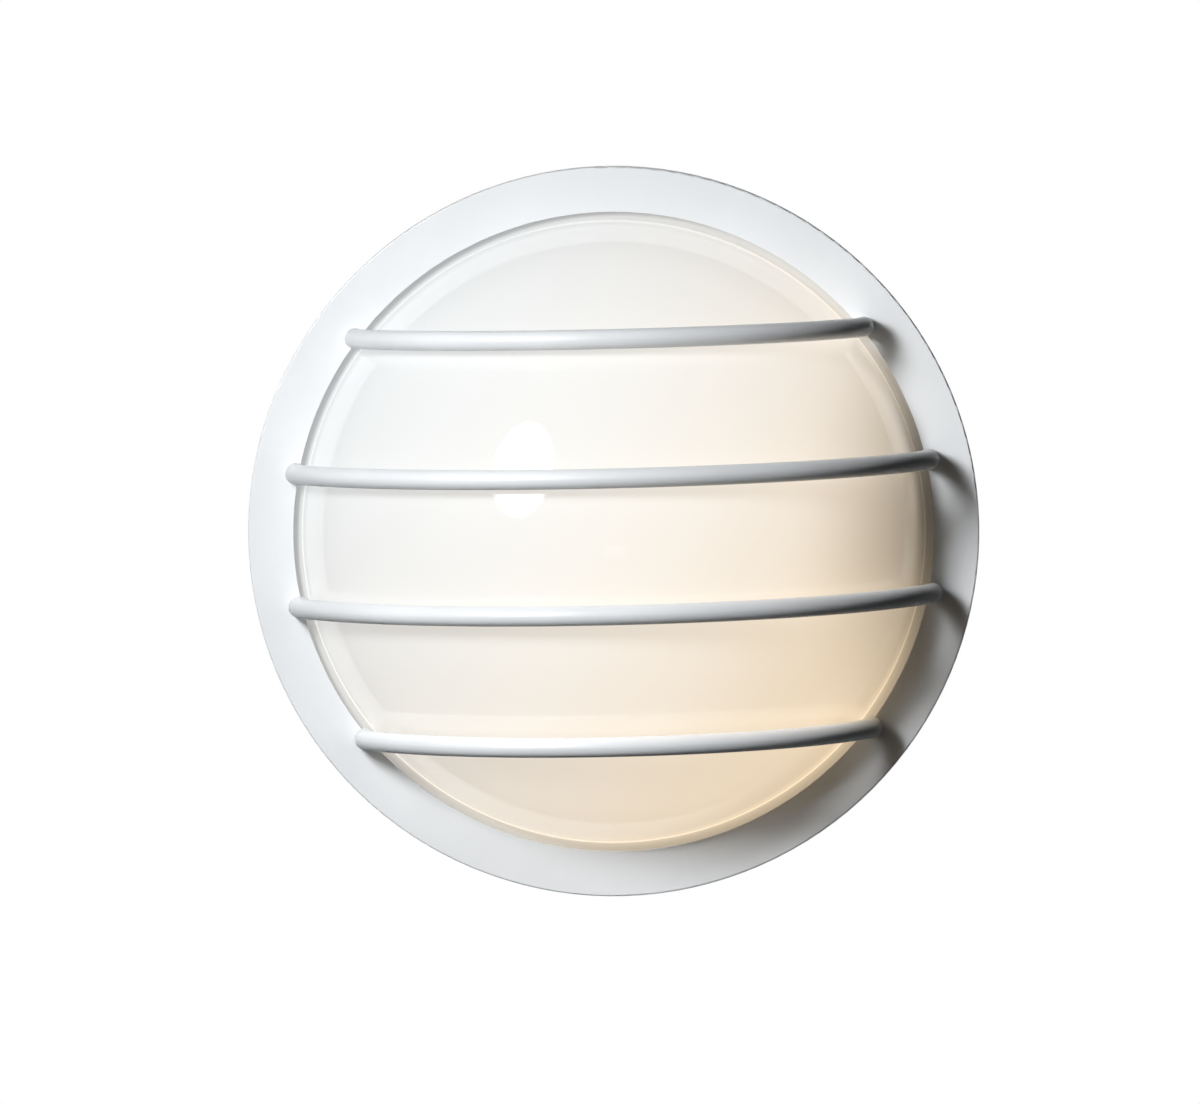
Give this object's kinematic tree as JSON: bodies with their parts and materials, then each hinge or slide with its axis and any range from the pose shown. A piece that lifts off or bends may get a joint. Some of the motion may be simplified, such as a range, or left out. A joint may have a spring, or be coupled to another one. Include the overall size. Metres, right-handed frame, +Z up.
{
  "type": "round bulkhead light",
  "caption": "Round wall light: opal glass dome held to a cast pan by a flat white guard ring, with round guard rods bowed across the glass.",
  "frame": {"origin": "centre of the face that lies on the wall", "axes": "+Y into the wall, -Y the way the light faces, +Z up, +X to the right as seen from the front"},
  "size_m": [0.26, 0.1282, 0.26],
  "materials": {
    "paint": "white powder coat",
    "pan_paint": "white powder coat",
    "opal": "glossy opal",
    "foam": "closed-cell foam",
    "rubber": "matt",
    "silicone": "matt silicone",
    "zinc": "zinc plated",
    "brass": "plain",
    "porcelain": "glazed",
    "lamp_glass": "frosted",
    "black_glass": "black",
    "brown_pvc": "insulation",
    "blue_pvc": "insulation",
    "green_pvc": "insulation"
  },
  "bodies": {
    "root": {"wall_gasket": "foam", "back_pan": "pan_paint", "cable_grommet": "rubber", "fixing_seals": "rubber", "earth_tag": "zinc", "earth_washer": "zinc", "earth_screw": "brass", "terminal_block": "porcelain", "terminal_tubes": "brass", "terminal_screws": "zinc", "terminal_fixings": "zinc", "lamp_bracket": "zinc", "bracket_screws": "zinc", "lampholder_body": "porcelain", "lampholder_shell": "brass", "lampholder_contact": "brass", "lampholder_terminals": "brass", "holder_screws": "zinc", "lamp_contact": "brass", "lamp_insulator": "black_glass", "lamp_cap": "zinc", "lamp_bulb": "lamp_glass", "live_lead": "brown_pvc", "neutral_lead": "blue_pvc", "earth_lead": "green_pvc", "glass_gasket": "silicone", "glass_dome": "opal", "guard_ring": "paint", "guard_bar_top": "paint", "guard_bar_upper": "paint", "guard_bar_lower": "paint", "guard_bar_bottom": "paint", "ring_screws": "zinc"}
  },
  "joints": []
}
